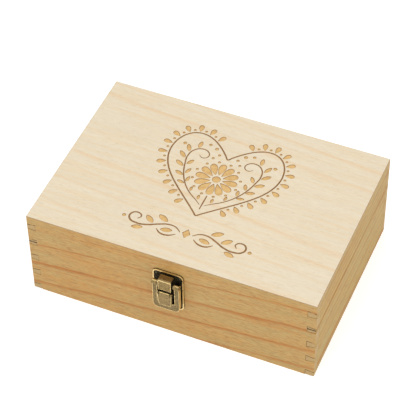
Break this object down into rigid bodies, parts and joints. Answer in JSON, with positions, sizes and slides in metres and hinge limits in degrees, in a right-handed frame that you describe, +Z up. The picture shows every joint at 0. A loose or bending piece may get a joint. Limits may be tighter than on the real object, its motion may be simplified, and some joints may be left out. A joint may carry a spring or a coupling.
{
  "type": "keepsake box",
  "caption": "Hinged rectangular pine box with dovetailed corners, a full-width lid with an engraved top, an over-centre bronze draw latch in front and butt hinges behind.",
  "frame": {"origin": "centre of the underside of the wooden box, which stands flat on a surface", "axes": "+X along the length of the box, -Y towards the front with the latch, +Z up"},
  "size_m": [0.26, 0.1941, 0.09],
  "materials": {
    "pine": "satin",
    "engraved_pine": "satin",
    "inside_pine": "matte",
    "aged_bronze": "aged satin",
    "hinge_bronze": "aged satin",
    "nail_bronze": "aged satin",
    "pin_bronze": "aged satin"
  },
  "bodies": {
    "base": {"base_front_board": "pine", "base_back_board": "pine", "base_left_board": "pine", "base_right_board": "pine", "bottom_panel": "inside_pine", "latch_base_plate": "aged_bronze", "latch_base_nails": "nail_bronze", "hinge_base_nails": "nail_bronze", "lever_pin": "pin_bronze", "left_hinge_pin": "pin_bronze", "right_hinge_pin": "pin_bronze", "left_hinge_base_leaf": "hinge_bronze", "right_hinge_base_leaf": "hinge_bronze"},
    "lid": {"lid_front_board": "pine", "lid_back_board": "pine", "lid_left_board": "pine", "lid_right_board": "pine", "lid_panel": "engraved_pine", "keeper_plate": "aged_bronze", "keeper_nails": "nail_bronze", "left_hinge_lid_leaf": "hinge_bronze", "right_hinge_lid_leaf": "hinge_bronze", "hinge_lid_nails": "nail_bronze"},
    "latch_lever": {"latch_lever": "aged_bronze", "link_pin": "pin_bronze"},
    "latch_claw": {"latch_claw": "aged_bronze"}
  },
  "joints": [
    {"name": "lid_hinge", "type": "hinge", "parent": "base", "child": "lid", "pos_m": [0, 0.0919, 0.06], "axis": [-1, 0, 0], "range_deg": [0, 180]},
    {"name": "lever_hinge", "type": "hinge", "parent": "base", "child": "latch_lever", "pos_m": [0, -0.0958, 0.0663], "axis": [-1, 0, 0], "range_deg": [0, 120]},
    {"name": "claw_hinge", "type": "hinge", "parent": "latch_lever", "child": "latch_claw", "pos_m": [0, -0.0992, 0.0585], "axis": [1, 0, 0], "range_deg": [0, 132]}
  ],
  "couplings": [
    {"joint": "claw_hinge", "follows": "lever_hinge", "ratio": 1.1}
  ]
}
